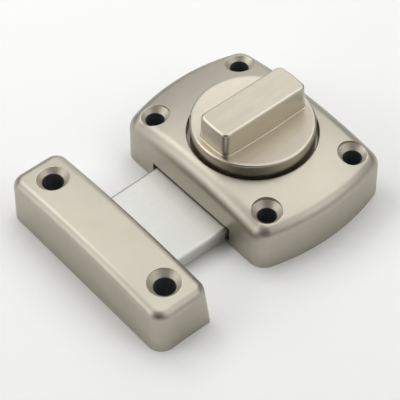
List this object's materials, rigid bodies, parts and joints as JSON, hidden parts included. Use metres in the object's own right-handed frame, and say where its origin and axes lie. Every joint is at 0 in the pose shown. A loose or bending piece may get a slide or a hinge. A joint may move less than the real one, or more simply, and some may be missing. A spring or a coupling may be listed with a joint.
{
  "type": "sliding bolt latch",
  "caption": "Surface-mounted sliding bolt latch: a cast case with a round turn knob and bar grip, a flat bolt driven out of its side, and a separate cast keeper.",
  "frame": {"origin": "where the turn knob's axis meets the mounting plane, at the back face of the case", "axes": "+Z out of the mounting plane along the knob's axis, +X the way the bolt slides out to the keeper, +Y across the bolt"},
  "size_m": [0.0722, 0.056, 0.0241],
  "materials": {
    "cast_zinc_satin_nickel": "satin nickel plate",
    "plated_steel_bolt": "bright nickel plate, drawn bar",
    "zinc_plated_sheet": "zinc-plated sheet",
    "zinc_plated_screw": "zinc plate",
    "spring_steel": "hardened, oiled",
    "nylon_washer": "natural nylon"
  },
  "bodies": {
    "case": {"case": "cast_zinc_satin_nickel", "back_plate": "zinc_plated_sheet", "plate_screw_1": "zinc_plated_screw", "plate_screw_2": "zinc_plated_screw", "plate_screw_3": "zinc_plated_screw", "plate_screw_4": "zinc_plated_screw", "wear_washer": "nylon_washer", "keeper": "cast_zinc_satin_nickel"},
    "knob": {"knob": "cast_zinc_satin_nickel", "detent_ball": "spring_steel", "detent_spring": "spring_steel", "wave_washer": "spring_steel", "crank": "zinc_plated_sheet", "crank_washer": "zinc_plated_screw", "crank_screw": "zinc_plated_screw", "drive_pin": "zinc_plated_screw", "drive_roller": "zinc_plated_screw"},
    "bolt": {"bolt": "plated_steel_bolt"}
  },
  "joints": [
    {"name": "knob_turn", "type": "hinge", "parent": "case", "child": "knob", "pos_m": [0, 0, 0.0144], "axis": [0, 0, 1], "range_deg": [0, 90]},
    {"name": "bolt_slide", "type": "slide", "parent": "case", "child": "bolt", "axis": [1, 0, 0], "range_m": [-0.02065, 0]}
  ],
  "couplings": [
    {"joint": "bolt_slide", "follows": "knob_turn", "m_per_rad": -0.013144}
  ]
}
